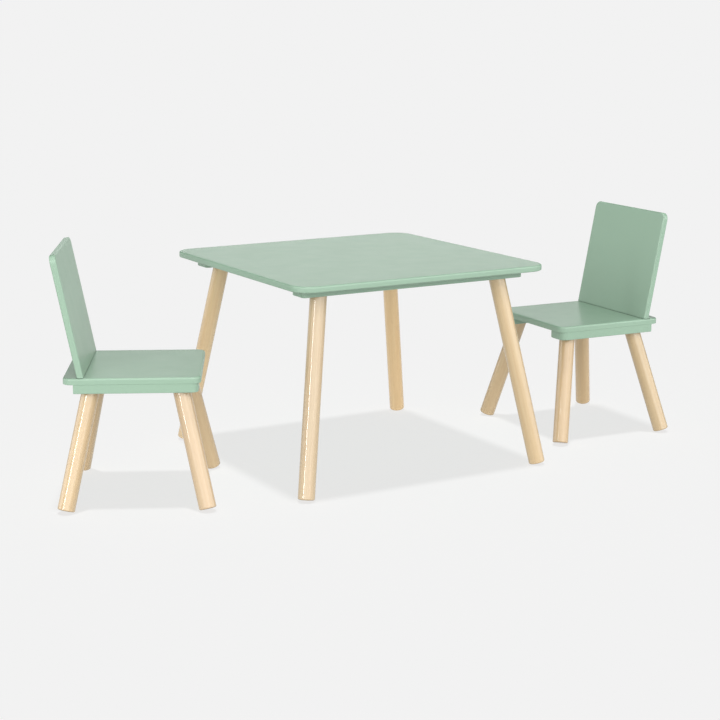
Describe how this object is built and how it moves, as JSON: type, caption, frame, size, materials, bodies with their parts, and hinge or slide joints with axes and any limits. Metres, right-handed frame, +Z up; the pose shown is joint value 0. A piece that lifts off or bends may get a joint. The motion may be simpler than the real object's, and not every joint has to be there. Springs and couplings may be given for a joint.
{
  "type": "kids table and chairs",
  "caption": "Square toddler table and two matching chairs: painted panels with rounded corners on underside battens, splayed round wooden legs, and tilted panel backrests.",
  "frame": {"origin": "on the floor, under the middle of the table", "axes": "+X along the table's front edge towards the right chair, +Y to the back of the table, +Z up"},
  "size_m": [1.4846, 0.6164, 0.5072],
  "materials": {
    "green_paint": "satin sage-green paint on board, softly rounded edges",
    "lacquered_wood": "clear satin lacquer on light straight-grained wood",
    "zinc_steel": "bright zinc plate",
    "raw_dowel": "raw beech"
  },
  "bodies": {
    "table": {"table_top": "green_paint", "table_batten_front": "green_paint", "table_batten_back": "green_paint", "table_leg_front_left": "lacquered_wood", "table_leg_front_right": "lacquered_wood", "table_leg_back_left": "lacquered_wood", "table_leg_back_right": "lacquered_wood", "table_hanger_bolts": "zinc_steel", "table_insert_nuts": "zinc_steel", "table_batten_screws": "zinc_steel"},
    "left_chair": {"left_chair_seat": "green_paint", "left_chair_backrest": "green_paint", "left_chair_batten_left": "green_paint", "left_chair_batten_right": "green_paint", "left_chair_leg_front_left": "lacquered_wood", "left_chair_leg_front_right": "lacquered_wood", "left_chair_leg_back_left": "lacquered_wood", "left_chair_leg_back_right": "lacquered_wood", "left_chair_hanger_bolts": "zinc_steel", "left_chair_insert_nuts": "zinc_steel", "left_chair_batten_screws": "zinc_steel", "left_chair_back_screws": "zinc_steel", "left_chair_back_dowels": "raw_dowel"},
    "right_chair": {"right_chair_seat": "green_paint", "right_chair_backrest": "green_paint", "right_chair_batten_left": "green_paint", "right_chair_batten_right": "green_paint", "right_chair_leg_front_left": "lacquered_wood", "right_chair_leg_front_right": "lacquered_wood", "right_chair_leg_back_left": "lacquered_wood", "right_chair_leg_back_right": "lacquered_wood", "right_chair_hanger_bolts": "zinc_steel", "right_chair_insert_nuts": "zinc_steel", "right_chair_batten_screws": "zinc_steel", "right_chair_back_screws": "zinc_steel", "right_chair_back_dowels": "raw_dowel"}
  },
  "joints": [
    {"name": "left_chair_slide", "type": "slide", "parent": "table", "child": "left_chair", "axis": [0.891, -0.454, 0], "range_m": [-0.2, 0.19]},
    {"name": "right_chair_slide", "type": "slide", "parent": "table", "child": "right_chair", "axis": [-0.9981, 0.061, 0], "range_m": [-0.2, 0.37]}
  ]
}
